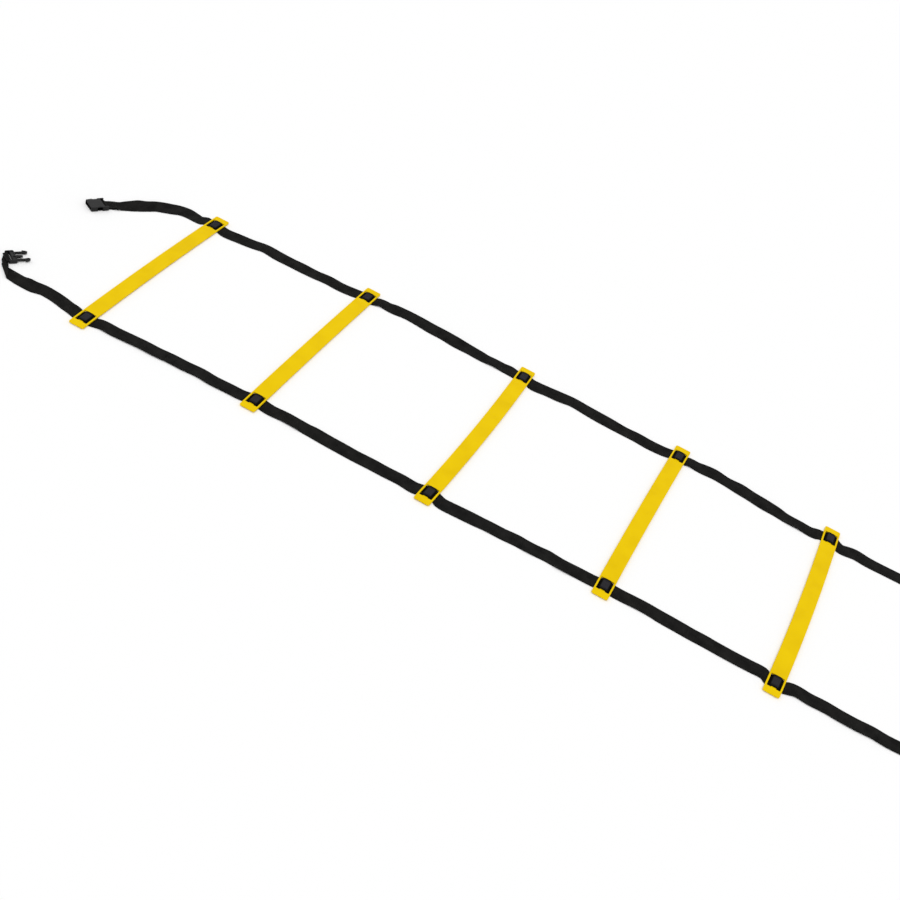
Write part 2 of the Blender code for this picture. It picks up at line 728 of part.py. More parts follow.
def build_female(name, parent):
    """The female body: webbing slot and bar, a socket open at the mouth, and side windows."""
    half, mouth = BUCKLE_WIDTH / 2, MOUTH_WIDTH / 2
    waist = half - GRIP_INSET
    side = [(LUG_REAR, half), (SIDE_WINDOW_START, half), (SIDE_WINDOW_START + GRIP_INSET, waist),
            (SIDE_WINDOW_END - GRIP_INSET, waist), (SIDE_WINDOW_END, half), (FEMALE_LENGTH, mouth)]
    corners = [(x, -y) for x, y in side] + side[::-1]
    outline = rounded(corners, BODY_CORNER / 2, CORNER_STEPS)
    body = add_object(name, body_block(name, outline, FEMALE_THICK), "buckle_black", parent)
    add_bar(name, body, FEMALE_THICK, parent)
    middle = FEMALE_THICK / 2 - BAR_HEIGHT
    z_low, z_high = middle - SOCKET_HEIGHT / 2, middle + SOCKET_HEIGHT / 2
    low = (SOCKET_START, -SOCKET_WIDTH / 2, z_low)
    high = (FEMALE_LENGTH + CUT_OVERLAP, SOCKET_WIDTH / 2, z_high)
    cut_box(name + "_socket", body, low, high, parent)
    low = (SIDE_WINDOW_START, -half - CUT_OVERLAP, z_low)
    high = (SIDE_WINDOW_END, half + CUT_OVERLAP, z_high)
    cut_box(name + "_window", body, low, high, parent)
    return body


# Assembly

def fold_empty(index, parent):
    """The empty on the fold axis that carries a strap panel that hangs on its neighbour."""
    fold = index if index < ROOT else index - 1
    place = Matrix.Translation((FOLDS_X[fold], 0.0, fold_axis_height(fold)))
    return add_empty(f"fold_axis_{fold + 1}", parent_inverse(parent) @ place, parent)


def panel_empties():
    """One empty for each strap panel, chained outward from the middle one."""
    carriers = [None] * RUNG_COUNT
    carriers[ROOT] = add_empty("middle_panel", Matrix.Translation((PLACES[ROOT].translation.x, 0.0, 0.0)))
    for index in range(ROOT - 1, -1, -1):
        carriers[index] = fold_empty(index, carriers[index + 1])
    for index in range(ROOT + 1, RUNG_COUNT):
        carriers[index] = fold_empty(index, carriers[index - 1])
    return carriers


def build_end(right_end, carrier):
    """Both tails and both buckles of one end of the ladder."""
    word = "right" if right_end else "left"
    matrix = end_matrix(right_end)
    build_male_tail(f"{word}_tail_to_male_buckle", matrix, carrier)
    build_female_tail(f"{word}_tail_to_female_buckle", matrix, carrier)
    inverse = parent_inverse(carrier)
    male_place = inverse @ buckle_place(MALE_BAR, MALE_HEADING, matrix)
    male_axis = add_empty(f"{word}_male_bar_axis", male_place, carrier)
    build_male(f"{word}_male_buckle", male_axis)
    build_arm(f"{word}_male_buckle_arm_a", 1, male_axis)
    build_arm(f"{word}_male_buckle_arm_b", -1, male_axis)
    female_place = inverse @ buckle_place(FEMALE_BAR, FEMALE_HEADING, matrix)
    female_axis = add_empty(f"{word}_female_bar_axis", female_place, carrier)
    build_female(f"{word}_female_buckle", female_axis)


def build_ladder():
    carriers = panel_empties()
    for index, carrier in enumerate(carriers):
        build_rung(index, carrier)
        for side in (-1, 1):
            build_strap(index, side, carrier)
    build_end(False, carriers[0])
    build_end(True, carriers[-1])


clear_scene()
LADDER = make_collection("agility_ladder")
CUTTERS = make_collection("cutters")
build_ladder()
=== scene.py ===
import math

import bpy
from mathutils import Matrix, Vector


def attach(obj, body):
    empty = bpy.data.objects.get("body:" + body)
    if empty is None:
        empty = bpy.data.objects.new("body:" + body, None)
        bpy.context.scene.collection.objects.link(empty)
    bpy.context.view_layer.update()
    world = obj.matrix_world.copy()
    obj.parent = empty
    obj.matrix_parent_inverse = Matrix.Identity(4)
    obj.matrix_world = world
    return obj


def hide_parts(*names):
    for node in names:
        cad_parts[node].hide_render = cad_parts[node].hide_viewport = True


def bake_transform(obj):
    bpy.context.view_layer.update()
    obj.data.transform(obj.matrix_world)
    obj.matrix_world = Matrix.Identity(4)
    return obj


# Agility ladder laid out on a white floor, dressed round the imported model.
# Metres, +Z up, +X along the ladder, +Y from the near strap to the far strap.

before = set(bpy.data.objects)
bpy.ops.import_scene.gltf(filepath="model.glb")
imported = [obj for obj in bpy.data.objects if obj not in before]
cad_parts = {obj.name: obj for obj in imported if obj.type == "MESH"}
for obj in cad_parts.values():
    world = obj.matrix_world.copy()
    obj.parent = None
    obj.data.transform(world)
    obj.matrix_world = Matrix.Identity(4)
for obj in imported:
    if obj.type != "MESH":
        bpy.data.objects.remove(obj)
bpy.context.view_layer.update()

# The part's own sizes, repeated from its source
WEB_WIDTH = 0.0305
WEB_THICK = 0.0013
FIT_GAP = 0.0003
RUNG_LENGTH = 0.510
RUNG_THICK = 0.0030
RAIL_WIDTH = 0.0032
SLOT_WIDTH = 0.0077
SLOT_PLAY = 0.0014
MIDDLE_BAR_WIDTH = 0.0092
END_MARGIN = 0.0146
BAY = 0.345
BAY_SHARES = (1.0165, 1.033, 1.0025, 0.939, 1.0, 1.0, 1.0)
SHIFT_SHARES = (-0.55, 0.08, 0.06, 0.10, -0.345, -0.12, 0.16, 0.55)
BOW_SHARES = (-0.09, -0.05, 0.16, -0.055, 0.14, 0.06, -0.05, 0.09)
TURN_DEGREES = (0.0, -0.5, -0.95, -1.0, -1.2, 0.5, -0.4, 0.0)
BUCKLE_BAR_RADIUS = 0.00175
LOOP_ROOM = 0.00225
LOOP_WIDTH = 0.0266
BLOCK_DEPTH = 0.0084
MALE_THICK = 0.0080
ARM_PITCH = 0.0226
MALE_TAIL_REACH = 0.1850
FEMALE_TAIL_REACH = 0.1927
FEMALE_TAIL_SWING = 0.1303
CREASE_SIDE_SHARE = -0.24
CREASE_TO_BAR_SHARES = (-0.72, 1.21)
CREASE_HEADING = 139.0
MALE_HEADING = 53.0
FEMALE_HEADING = 238.0
MALE_LEAD = 0.0046
MALE_SEWN_DROP = 0.0050
MALE_SEWN_LENGTH = 0.0015
FEMALE_LEAD = 0.0075
FEMALE_SEWN_DROP = 0.0080
FEMALE_SEWN_LENGTH = 0.0160

RUNG_COUNT = len(SHIFT_SHARES)
UNDER_RUNG = WEB_THICK + FIT_GAP
WEB_MID = WEB_THICK / 2
SLOT_LENGTH = WEB_WIDTH + 2 * SLOT_PLAY
SLOTS_SPAN = MIDDLE_BAR_WIDTH + 2 * SLOT_WIDTH
RUNG_WIDTH = SLOTS_SPAN + 2 * RAIL_WIDTH
STRAP_Y = RUNG_LENGTH / 2 - END_MARGIN - SLOT_LENGTH / 2
WEAVE_TOP = UNDER_RUNG + RUNG_THICK + FIT_GAP + WEB_MID
LAYER_STEP = WEB_THICK + FIT_GAP
LOOP_RADIUS = BUCKLE_BAR_RADIUS + FIT_GAP + WEB_MID
BAR_HEIGHT = WEB_MID + LOOP_RADIUS
SHOULDER = LOOP_RADIUS + WEB_MID + LOOP_ROOM + BLOCK_DEPTH
MALE_CREASE = (-MALE_TAIL_REACH, -STRAP_Y + CREASE_SIDE_SHARE * WEB_WIDTH)
MALE_BAR = tuple(a + b * WEB_WIDTH for a, b in zip(MALE_CREASE, CREASE_TO_BAR_SHARES))
FEMALE_BAR = (-FEMALE_TAIL_REACH, STRAP_Y - FEMALE_TAIL_SWING)

# Where the webbing is split between the pieces that move apart
SEAM_X = 0.0139
FOLD_HALF = 0.0090

# How far apart the rows of webbing are, on the floor and in a fold, how many steps they take over
# a rung's bar, round a buckle's bar, down from it, round the crease and up to the crease, and how
# far beyond a rung a strap still shears
STEP = 0.0045
FOLD_STEP = 0.0015
WEAVE_STEPS = 18
LOOP_STEPS = 24
DROP_STEPS = 8
CREASE_STEPS = 12
CREASE_LEAD_STEPS = 9
SHEAR_REACH = 0.0180
STEEPEST_TILT = 0.9

MM = 0.001

# How the straps lie in each bay: (share of the bay, mm sideways, mm that the far edge is lifted,
# or the near edge if below 0)
NEAR_LIE = (
    ((.09, -11.5, -1.5), (.17, -11.5, -1.5), (.25, -9.5, -1.5), (.33, -7.5, -2), (.42, -7, -2),
     (.5, -4.5, -1.5), (.58, -4, -1.5), (.67, -1.5, -1.5), (.75, -3.5, -1.5), (.84, -2, -1),
     (.92, -1, -1)),
    ((.09, -.5, -.5), (.17, 1.5, -1), (.25, .5, -2), (.33, -.5, 1.5), (.42, -2, 1.5),
     (.5, -2.5, 1.5), (.58, -3, 1), (.67, -2, 1), (.75, -2, .5), (.84, -1, .5), (.92, -3.5, 1.5)),
    ((.06, -4, 0), (.09, -6.5, 1), (.17, -5.5, 1.5), (.25, -4, 1.5), (.33, -1.5, -.5),
     (.42, -1, 0), (.5, 1, .5), (.58, .5, -1), (.67, 2.5, .5), (.75, .5, -2), (.84, 1.5, -.5),
     (.92, 2, -.5)),
    ((.09, 2.5, 0), (.17, 3.5, -1), (.25, 3.5, -.5), (.33, 1, 1), (.42, 0, 1), (.5, -1, .5),
     (.58, -1, .5), (.67, -2, -.5), (.75, -2.5, -.5), (.84, -2, -.5), (.92, -2, -.5)),
    ((.09, -3.5, -1.5), (.17, -5.5, -1), (.25, -4.5, -1), (.33, -6.5, -1.5), (.42, -7, -1.5),
     (.5, -5.5, -1.5), (.58, -7.5, -1), (.75, -4, 0), (.92, -2, 0)),
    ((.12, -2, 0), (.3, 1, 1), (.5, 1.5, 0), (.7, 3, -.5), (.9, 2.5, 0)),
    ((.12, 1, 0), (.3, 2, -.5), (.5, 3, 0), (.7, 6, 1), (.9, 10, 0)),
)
FAR_LIE = (
    ((.09, -22, 2), (.17, -18, 2), (.25, -13.5, 1.5), (.33, -6, 1), (.42, -9.5, 2.5),
     (.5, -9, 1.5), (.58, -9, 2.5), (.67, -7.5, 1), (.75, -4.5, 1.5), (.84, -5.5, 1),
     (.92, -2, 1)),
    ((.09, 10, -2.5), (.17, 9, 3.5), (.25, 13.5, 2), (.33, 12, 3), (.42, 8, 4.5), (.5, 7.5, 4.5),
     (.58, 3.5, 6), (.67, 4, 2.5), (.75, 2.5, 1.5), (.83, 4, -2.5), (.92, 3, 2)),
    ((.09, -6, 4), (.17, -2, 2.5), (.25, 0, 3.5), (.33, 5.5, 1.5), (.42, 2.5, 2), (.5, -.5, 3),
     (.58, -1.5, 2.5), (.67, -2, .5), (.75, -2, 1.5), (.83, -4.5, 2), (.92, -2, 1)),
    ((.09, 5.5, -2.5), (.17, 4, 2.5), (.25, 6, 3), (.33, 4, .5), (.42, -1, 5), (.5, -4, 3.5),
     (.58, -9, 5), (.67, -10.5, 2.5), (.75, -14, -1), (.83, -15, -2), (.915, -17, 1),
     (.94, -12.5, .5)),
    ((.06, -15, 0), (.09, -22.5, 0), (.17, -18.5, 2), (.25, -21, 1), (.33, -20.5, 0),
     (.5, -19, .5), (.7, -12, 1), (.85, -6, 0)),
    ((.12, -3, 1), (.3, -3, 0), (.5, 3, 1), (.7, 4, -1), (.9, 3.5, 0)),
    ((.12, 2, 0), (.3, 3, 1), (.5, 3.5, 0), (.7, 6, 1), (.9, 9, 0)),
)

# The camera that the photograph was taken with
CAMERA_PLACE = (-0.1366, -2.06331, 1.57741)
CAMERA_DOWN = 38.0544
CAMERA_TURN = -10.9831
CAMERA_ROLL = 20.9064
LENS_MM = 56.0
SENSOR_MM = 36.0

# The light: white behind and in reflections, a plain level on the ladder and one soft lamp
WHITE_LEVEL = 1.0
LIGHT_LEVEL = 0.74
LAMP_STRENGTH = 0.90
LAMP_DEGREES = 25
LAMP_PLACE = (0.25, -1.05, 3.0)
FLOOR_REACH = 9
FLOOR_HEIGHT = -0.0002
FLOOR_COLOUR = (0.99, 0.99, 0.99, 1.0)

# Colours, as linear red, green and blue
WEB_DEEP = (.0008, .0007, .0007)
WEB_MIDDLE = (.0044, .0043, .0041)
WEB_HIGH = (.0100, .0097, .0092)
WEB_DUST = (.030, .029, .027)
# Painted shade: near black for the webbing down in a rung's slots and along its edges over the bar
SLOT_PAINTED_SHADE = (.0016, .0014, .0014)
# Painted highlight: lighter colours for the webbing's top where it goes over a rung's bar
PAINTED_HIGHLIGHT_DEEP = (.008, .0075, .010)
PAINTED_HIGHLIGHT_MIDDLE = (.027, .026, .030)
PAINTED_HIGHLIGHT_HIGH = (.041, .039, .045)
THREAD_DARK = (.006, .006, .006)
THREAD_LIGHT = (.022, .021, .020)
YELLOW_DARK = (.800, .538, .0006)
YELLOW_MIDDLE = (.842, .576, .0007)
YELLOW_LIGHT = (.866, .600, .0012)
YELLOW_SCUFF = (.86, .62, .012)
BUCKLE_DARK = (.0045, .0045, .0047)
BUCKLE_RUBBED = (.0110, .0110, .0112)

# The weave: its ribs and picks, and the heights and the distances from the webbing's edge between
# which it gets a painted highlight where it goes over a bar
RIB_PITCH = 0.00145
PICK_PITCH = 0.0024
HIGHLIGHT_HEIGHTS = (0.0046, 0.0058)
HIGHLIGHT_INSETS = (0.0012, 0.0078)


# Small helpers

def smooth(t):
    t = min(max(t, 0.0), 1.0)
    return t * t * (3 - 2 * t)


def heading(degrees):
    return Vector((math.cos(math.radians(degrees)), math.sin(math.radians(degrees)), 0.0))


def left_of(way):
    return Vector((-way.y, way.x, 0.0))


def rung_places():
    bays = [BAY * share for share in BAY_SHARES]
    start = -sum(bays) / 2
    places = []
    for index in range(RUNG_COUNT):
        turn = Matrix.Rotation(math.radians(TURN_DEGREES[index]), 4, "Z")
        shift = RUNG_WIDTH * SHIFT_SHARES[index]
        move = Matrix.Translation((start + sum(bays[:index]), shift, 0.0))
        places.append(move @ turn)
    return places


PLACES = rung_places()
FOLDS_X = [(a.translation.x + b.translation.x) / 2 for a, b in zip(PLACES, PLACES[1:])]


def bow_at(index, y):
    return RUNG_WIDTH * BOW_SHARES[index] * (1 - (2 * y / RUNG_LENGTH) ** 2)


# Materials

class Nodes:
    """A material's node tree with short ways to add and join nodes."""

    def __init__(self, name):
        self.material = bpy.data.materials.new(name)
        self.material.use_nodes = True
        self.tree = self.material.node_tree
        self.shader = self.tree.nodes["Principled BSDF"]

    def add(self, kind, **values):
        node = self.tree.nodes.new(kind)
        for key, value in values.items():
            if hasattr(node, key):
                setattr(node, key, value)
            else:
                node.inputs[key.replace("_", " ")].default_value = value
        return node

    def link(self, source, target):
        self.tree.links.new(source, target)

    def place(self):
        return self.tree.nodes.new("ShaderNodeTexCoord").outputs["Object"]

    def split(self, vector):
        node = self.tree.nodes.new("ShaderNodeSeparateXYZ")
        self.link(vector, node.inputs[0])
        return node.outputs

    def math(self, operation, a, b=None):
        node = self.tree.nodes.new("ShaderNodeMath")
        node.operation = operation
        for socket, value in zip(node.inputs, (a, b)):
            if value is None:
                continue
            if isinstance(value, (int, float)):
                socket.default_value = value
            else:
                self.link(value, socket)
        return node.outputs[0]

    def noise(self, vector, scale, detail=3.0, roughness=0.55):
        node = self.add("ShaderNodeTexNoise", Scale=scale, Detail=detail, Roughness=roughness)
        self.link(vector, node.inputs["Vector"])
        return node.outputs["Fac"]

    def ramp(self, factor, stops):
        node = self.tree.nodes.new("ShaderNodeValToRGB")
        ramp = node.color_ramp
        while len(ramp.elements) < len(stops):
            ramp.elements.new(0.5)
        for element, (place, colour) in zip(ramp.elements, stops):
            element.position = place
            element.color = (*colour, 1.0)
        self.link(factor, node.inputs["Fac"])
        return node.outputs["Color"]

    def grey(self, factor, low, high, from_low=0.0, from_high=1.0):
        node = self.tree.nodes.new("ShaderNodeMapRange")
        values = {"From Min": from_low, "From Max": from_high, "To Min": low, "To Max": high}
        for key, value in values.items():
            node.inputs[key].default_value = value
        self.link(factor, node.inputs["Value"])
        return node.outputs["Result"]

    def mix(self, factor, a, b):
        node = self.tree.nodes.new("ShaderNodeMix")
        node.data_type = "RGBA"
        sockets = [s for s in node.inputs if s.type == "RGBA"]
        for socket, value in ((node.inputs["Factor"], factor), (sockets[0], a), (sockets[1], b)):
            if isinstance(value, (int, float)):
                socket.default_value = value
            elif isinstance(value, tuple):
                socket.default_value = (*value, 1.0)
            else:
                self.link(value, socket)
        return [s for s in node.outputs if s.type == "RGBA"][0]

    def bump(self, height, strength, distance, below=None):
        node = self.add("ShaderNodeBump", Strength=strength, Distance=distance)
        self.link(height, node.inputs["Height"])
        if below is not None:
            self.link(below, node.inputs["Normal"])
        return node.outputs["Normal"]

    def finish(self, colour, roughness, normal, specular):
        self.link(colour, self.shader.inputs["Base Color"])
        self.link(roughness, self.shader.inputs["Roughness"])
        self.link(normal, self.shader.inputs["Normal"])
        self.shader.inputs["Specular IOR Level"].default_value = specular
        return self.material


def webbing_material(name, over_bar):
    """Flat woven polypropylene webbing: ribs of warp crossed by picks, with fuzz and dust.

    Where it is pulled over a rung's bar it gets a painted highlight on top and painted shade down
    in the slots and along its edges.
    """
    n = Nodes(name)
    uv = n.add("ShaderNodeUVMap", uv_map="weave").outputs["UV"]
    along, across, _ = n.split(uv)
    rib = n.math("MULTIPLY", across, 1 / RIB_PITCH)
    half_pick = n.math("MULTIPLY", n.math("FLOOR", rib), 0.5)
    pick = n.math("ADD", n.math("MULTIPLY", along, 1 / PICK_PITCH), half_pick)
    rib_wave = n.math("ABSOLUTE", n.math("SINE", n.math("MULTIPLY", rib, math.pi)))
    pick_wave = n.math("ABSOLUTE", n.math("SINE", n.math("MULTIPLY", pick, math.pi)))
    weave = n.math("MULTIPLY", n.math("POWER", rib_wave, 0.6), n.math("POWER", pick_wave, 0.5))
    fuzz = n.noise(uv, 2600.0, 2.0)
    cloud = n.noise(uv, 38.0, 4.0, 0.6)
    colour = n.ramp(weave, ((0.0, WEB_DEEP), (0.5, WEB_MIDDLE), (1.0, WEB_HIGH)))
    dust = n.grey(cloud, 0.03, 0.38, 0.36, 0.68)
    colour = n.mix(dust, colour, WEB_DUST)
    # Over a rung's bar the top gets a painted highlight, between the highlight heights and away
    # from the edges, and the rest gets painted shade
    if over_bar:
        height = n.split(n.place())[2]
        highlight_colour = n.ramp(weave, ((0.0, PAINTED_HIGHLIGHT_DEEP), (0.6, PAINTED_HIGHLIGHT_MIDDLE), (1.0, PAINTED_HIGHLIGHT_HIGH)))
        from_edge = n.math("ABSOLUTE", across)
        inset = n.math("MINIMUM", from_edge, n.math("SUBTRACT", WEB_WIDTH, from_edge))
        highlight_mask = n.math("MULTIPLY", n.grey(height, 0.0, 1.0, *HIGHLIGHT_HEIGHTS),
                      n.grey(inset, 0.0, 1.0, *HIGHLIGHT_INSETS))
        colour = n.mix(highlight_mask, SLOT_PAINTED_SHADE, highlight_colour)
    rough = n.grey(fuzz, 0.70, 0.95)
    normal = n.bump(fuzz, 0.25, 0.00012)
    normal = n.bump(weave, 0.9, 0.00032, normal)
    return n.finish(colour, rough, normal, 0.05)


def thread_material():
    """Black sewing thread, a little glossier than the webbing."""
    n = Nodes("sewing_thread")
    twist = n.noise(n.place(), 3200.0, 1.0)
    colour = n.ramp(twist, ((0.3, THREAD_DARK), (0.7, THREAD_LIGHT)))
    return n.finish(colour, n.grey(twist, 0.45, 0.65), n.bump(twist, 0.5, 0.0001), 0.25)


def rung_material():
    """Yellow moulded plastic slat: satin, with faint clouding, fine grain and rubbed streaks."""
    n = Nodes("moulded_yellow")
    place = n.place()
    cloud = n.noise(place, 22.0, 3.0, 0.5)
    fine = n.noise(place, 900.0, 2.0)
    stretch = n.tree.nodes.new("ShaderNodeMapping")
    stretch.inputs["Scale"].default_value = (260.0, 9.0, 60.0)
    stretch.inputs["Rotation"].default_value = (0.0, 0.0, math.radians(9))
    n.link(place, stretch.inputs["Vector"])
    scratch = n.noise(stretch.outputs[0], 1.0, 4.0, 0.7)
    colour = n.ramp(cloud, ((0.30, YELLOW_DARK), (0.50, YELLOW_MIDDLE), (0.70, YELLOW_LIGHT)))
    scuff = n.grey(scratch, 0.0, 0.10, 0.62, 0.80)
    colour = n.mix(scuff, colour, YELLOW_SCUFF)
    rough = n.grey(cloud, 0.36, 0.50)
    normal = n.bump(fine, 0.10, 0.00012)
    normal = n.bump(scratch, 0.10, 0.00010, normal)
    return n.finish(colour, rough, normal, 0.03)


def buckle_material():
    """Black moulded acetal: fine spark-eroded grain, soft sheen and rubbed high spots."""
    n = Nodes("moulded_black")
    place = n.place()
    grain = n.noise(place, 2400.0, 2.0)
    rub = n.noise(place, 160.0, 4.0, 0.6)
    colour = n.ramp(rub, ((0.35, BUCKLE_DARK), (0.70, BUCKLE_RUBBED)))
    rough = n.grey(rub, 0.34, 0.50)
    normal = n.bump(grain, 0.18, 0.00008)
    return n.finish(colour, rough, normal, 0.20)


WEBBING = webbing_material("woven_webbing", False)
# Webbing over the rungs' bars, with a painted highlight on top and painted shade in the slots
WEBBING_WITH_PAINTED_LIGHT = webbing_material("woven_webbing_over_bar_painted_light", True)
THREAD = thread_material()
YELLOW = rung_material()
BLACK = buckle_material()


# Meshes. A row of webbing is a pair of edge points on its middle surface, and the profile is
# (share of the way across, share of half the thickness).

PROFILE = ((0.0, 0.30), (0.008, 0.72), (0.022, 0.95), (0.06, 1.0), (0.16, 0.96), (0.28, 1.0),
           (0.40, 0.97), (0.50, 1.0), (0.60, 0.97), (0.72, 1.0), (0.84, 0.96), (0.94, 1.0),
           (0.978, 0.95), (0.992, 0.72), (1.0, 0.30))


def tube_faces(rings, size, start=0):
    """Faces of a closed tube of rings with size points each, then its two end caps."""
    faces = []
    for ring in range(rings - 1):
        base = start + ring * size
        for k in range(size):
            after = (k + 1) % size
            faces.append((base + k, base + after, base + size + after, base + size + k))
    faces.append(tuple(start + k for k in range(size - 1, -1, -1)))
    faces.append(tuple(start + (rings - 1) * size + k for k in range(size)))
    return faces


def add_mesh(name, verts, faces, material, flat_faces=0):
    """A new object with a smooth mesh, but for its last few faces."""
    mesh = bpy.data.meshes.new(name)
    mesh.from_pydata(verts, [], faces)
    shading = [True] * (len(faces) - flat_faces) + [False] * flat_faces
    mesh.polygons.foreach_set("use_smooth", shading)
    mesh.materials.append(material)
    piece = bpy.data.objects.new(name, mesh)
    bpy.context.scene.collection.objects.link(piece)
    return piece


def row_normals(rows):
    normals = []
    last = len(rows) - 1
    for index, (a, b) in enumerate(rows):
        before, after = rows[max(index - 1, 0)], rows[min(index + 1, last)]
        along = (after[0] + after[1]) - (before[0] + before[1])
        normals.append(along.cross(b - a).normalized())
    return normals


def ribbon(name, rows, start_u=0.0, material=WEBBING):
    """Webbing through the rows as one closed mesh, with its weave laid out in metres."""
    rows = [(Vector(a), Vector(b)) for a, b in rows]
    normals = row_normals(rows)
    ring = list(PROFILE) + [(share, -height) for share, height in reversed(PROFILE)]
    verts, coords = [], []
    u_a = u_b = start_u
    for index, (a, b) in enumerate(rows):
        if index:
            u_a += (a - rows[index - 1][0]).length
            u_b += (b - rows[index - 1][1]).length
        for share, height in ring:
            point = a.lerp(b, share) + normals[index] * (height * WEB_THICK / 2)
            verts.append(point)
            side = 1.0 if height > 0 else -1.0
            coords.append((u_a + (u_b - u_a) * share, share * WEB_WIDTH * side))
    obj = add_mesh(name, verts, tube_faces(len(rows), len(ring)), material, 2)
    layer = obj.data.uv_layers.new(name="weave")
    for loop in obj.data.loops:
        layer.data[loop.index].uv = coords[loop.vertex_index]
    return obj


def weave_rows(index, side):
    """Rows over one rung's middle bar, from seam to seam under the rails."""
    inner = MIDDLE_BAR_WIDTH / 2 - FIT_GAP
    outer = SLOTS_SPAN / 2 + FIT_GAP
    middle = side * STRAP_Y
    rows = []
    for step in range(-WEAVE_STEPS, WEAVE_STEPS + 1):
        x = SEAM_X * step / WEAVE_STEPS
        z = WEAVE_TOP + (WEB_MID - WEAVE_TOP) * smooth((abs(x) - inner) / (outer - inner))
        skew = 1 - smooth((abs(x) - outer) / (SEAM_X - outer))
        row = []
        for y in (middle - WEB_WIDTH / 2, middle + WEB_WIDTH / 2):
            bow = bow_at(index, middle) + (bow_at(index, y) - bow_at(index, middle)) * skew
            row.append(PLACES[index] @ Vector((x + bow, y, z)))
        rows.append(tuple(row))
    return rows


def seam_row(index, side, toward):
    """The row where a strap meets the piece that is woven through the rung."""
    rows = weave_rows(index, side)
    return rows[-1] if toward > 0 else rows[0]


def chord(a, b):
    return (b[1] - a[1]) / (b[0] - a[0])


def hermite(a, way_a, b, way_b, t):
    """A smooth curve from a to b that leaves along way_a and arrives along way_b."""
    square, cube = t * t, t * t * t
    return (a * (2 * cube - 3 * square + 1) + way_a * (cube - 2 * square + t)
            + b * (3 * square - 2 * cube) + way_b * (cube - square))


def bay_curve(bay, side):
    """Knots of the strap through one bay: x, y, slope and lift, from seam to seam."""
    start, end = seam_row(bay, side, 1), seam_row(bay + 1, side, -1)
    left, right = (start[0] + start[1]) / 2, (end[0] + end[1]) / 2
    lie = (FAR_LIE if side > 0 else NEAR_LIE)[bay]
    x_low, x_high = PLACES[bay].translation.x, PLACES[bay + 1].translation.x
    knots = [(left.x, left.y, 0.0)]
    for share, sideways, lift in lie:
        knots.append((x_low + (x_high - x_low) * share, side * STRAP_Y + sideways * MM, lift * MM))
    knots.append((right.x, right.y, 0.0))
    slopes = [(chord(knots[0], knots[1]), 0.0)]
    for before, after in zip(knots, knots[2:]):
        run = after[0] - before[0]
        slopes.append(((after[1] - before[1]) / run, (after[2] - before[2]) / run))
    slopes.append((chord(knots[-2], knots[-1]), 0.0))
    return knots, slopes


def lie_at(curve, x):
    """The strap's y, its slope, and its edge's lift at x, on a smooth curve through the knots."""
    knots, slopes = curve
    place = 0
    while place < len(knots) - 2 and x > knots[place + 1][0]:
        place += 1
    (x0, y0, l0), (x1, y1, l1) = knots[place], knots[place + 1]
    run = x1 - x0
    t = min(max((x - x0) / run, 0.0), 1.0)
    (slope_0, climb_0), (slope_1, climb_1) = slopes[place], slopes[place + 1]
    y = hermite(y0, slope_0 * run, y1, slope_1 * run, t)
    lift = hermite(l0, climb_0 * run, l1, climb_1 * run, t)
    slope = (6 * t**2 - 6 * t) / run * (y0 - y1)
    slope += (3 * t**2 - 4 * t + 1) * slope_0 + (3 * t**2 - 2 * t) * slope_1
    return y, slope, lift


def tilted_row(x, y, across, lift):
    """A row on the floor with its second edge lifted, or its first one if lift is below 0."""
    tilt = math.asin(max(-STEEPEST_TILT, min(STEEPEST_TILT, lift / WEB_WIDTH)))
    reach = WEB_WIDTH / 2 * math.cos(tilt)
    centre = Vector((x, y, WEB_MID + abs(lift) / 2))
    rise = Vector((0.0, 0.0, lift / 2))
    return (centre - across * reach - rise, centre + across * reach + rise)


def lying_row(curve, x):
    """A row of strap on the floor, with one edge lifted, sheared where it comes off a rung."""
    y, slope, lift = lie_at(curve, x)
    knots = curve[0]
    slope *= smooth(min(x - knots[0][0], knots[-1][0] - x) / SHEAR_REACH)
    return tilted_row(x, y, Vector((-slope, 1.0, 0.0)).normalized(), lift)


def stations(start, end, step=STEP):
    count = max(2, round(abs(end - start) / step))
    return [start + (end - start) * k / count for k in range(count + 1)]


def word_for(side):
    return "far" if side > 0 else "near"


def build_weave(index, side):
    word = word_for(side)
    # Its material paints a highlight on the top and shade down in the slots
    piece = ribbon(f"{word}_strap_over_bar_{index + 1}", weave_rows(index, side), 0.0, WEBBING_WITH_PAINTED_LIGHT)
    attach(piece, f"rung_{index + 1}")
    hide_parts(f"strap_{word}_{index + 1}")
    return piece


def build_bay(bay, side):
    """The three lengths of strap between two rungs: one from each rung and one across the fold
    between them.
    """
    word = word_for(side)
    curve = bay_curve(bay, side)
    fold = FOLDS_X[bay]
    first, last = seam_row(bay, side, 1), seam_row(bay + 1, side, -1)
    x_first, x_last = curve[0][0][0], curve[0][-1][0]
    before = [lying_row(curve, x) for x in stations(x_first, fold - FOLD_HALF)]
    before[0] = first
    middle = [lying_row(curve, x) for x in stations(fold - FOLD_HALF, fold + FOLD_HALF, FOLD_STEP)]
    after = [lying_row(curve, x) for x in stations(fold + FOLD_HALF, x_last)]
    after[-1] = last
    left = ribbon(f"{word}_strap_after_rung_{bay + 1}", before)
    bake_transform(left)
    bend = ribbon(f"{word}_strap_fold_{bay + 1}", middle, fold - FOLD_HALF - x_first)
    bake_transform(bend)
    right = ribbon(f"{word}_strap_before_rung_{bay + 2}", after, fold + FOLD_HALF - x_first)
    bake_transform(right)


# Tails: both ends of the ladder are alike, turned by half a turn. Their places are those of the
# left end, in mm, with x from the end rung: (x, y, far edge lifted, or near edge if below 0)

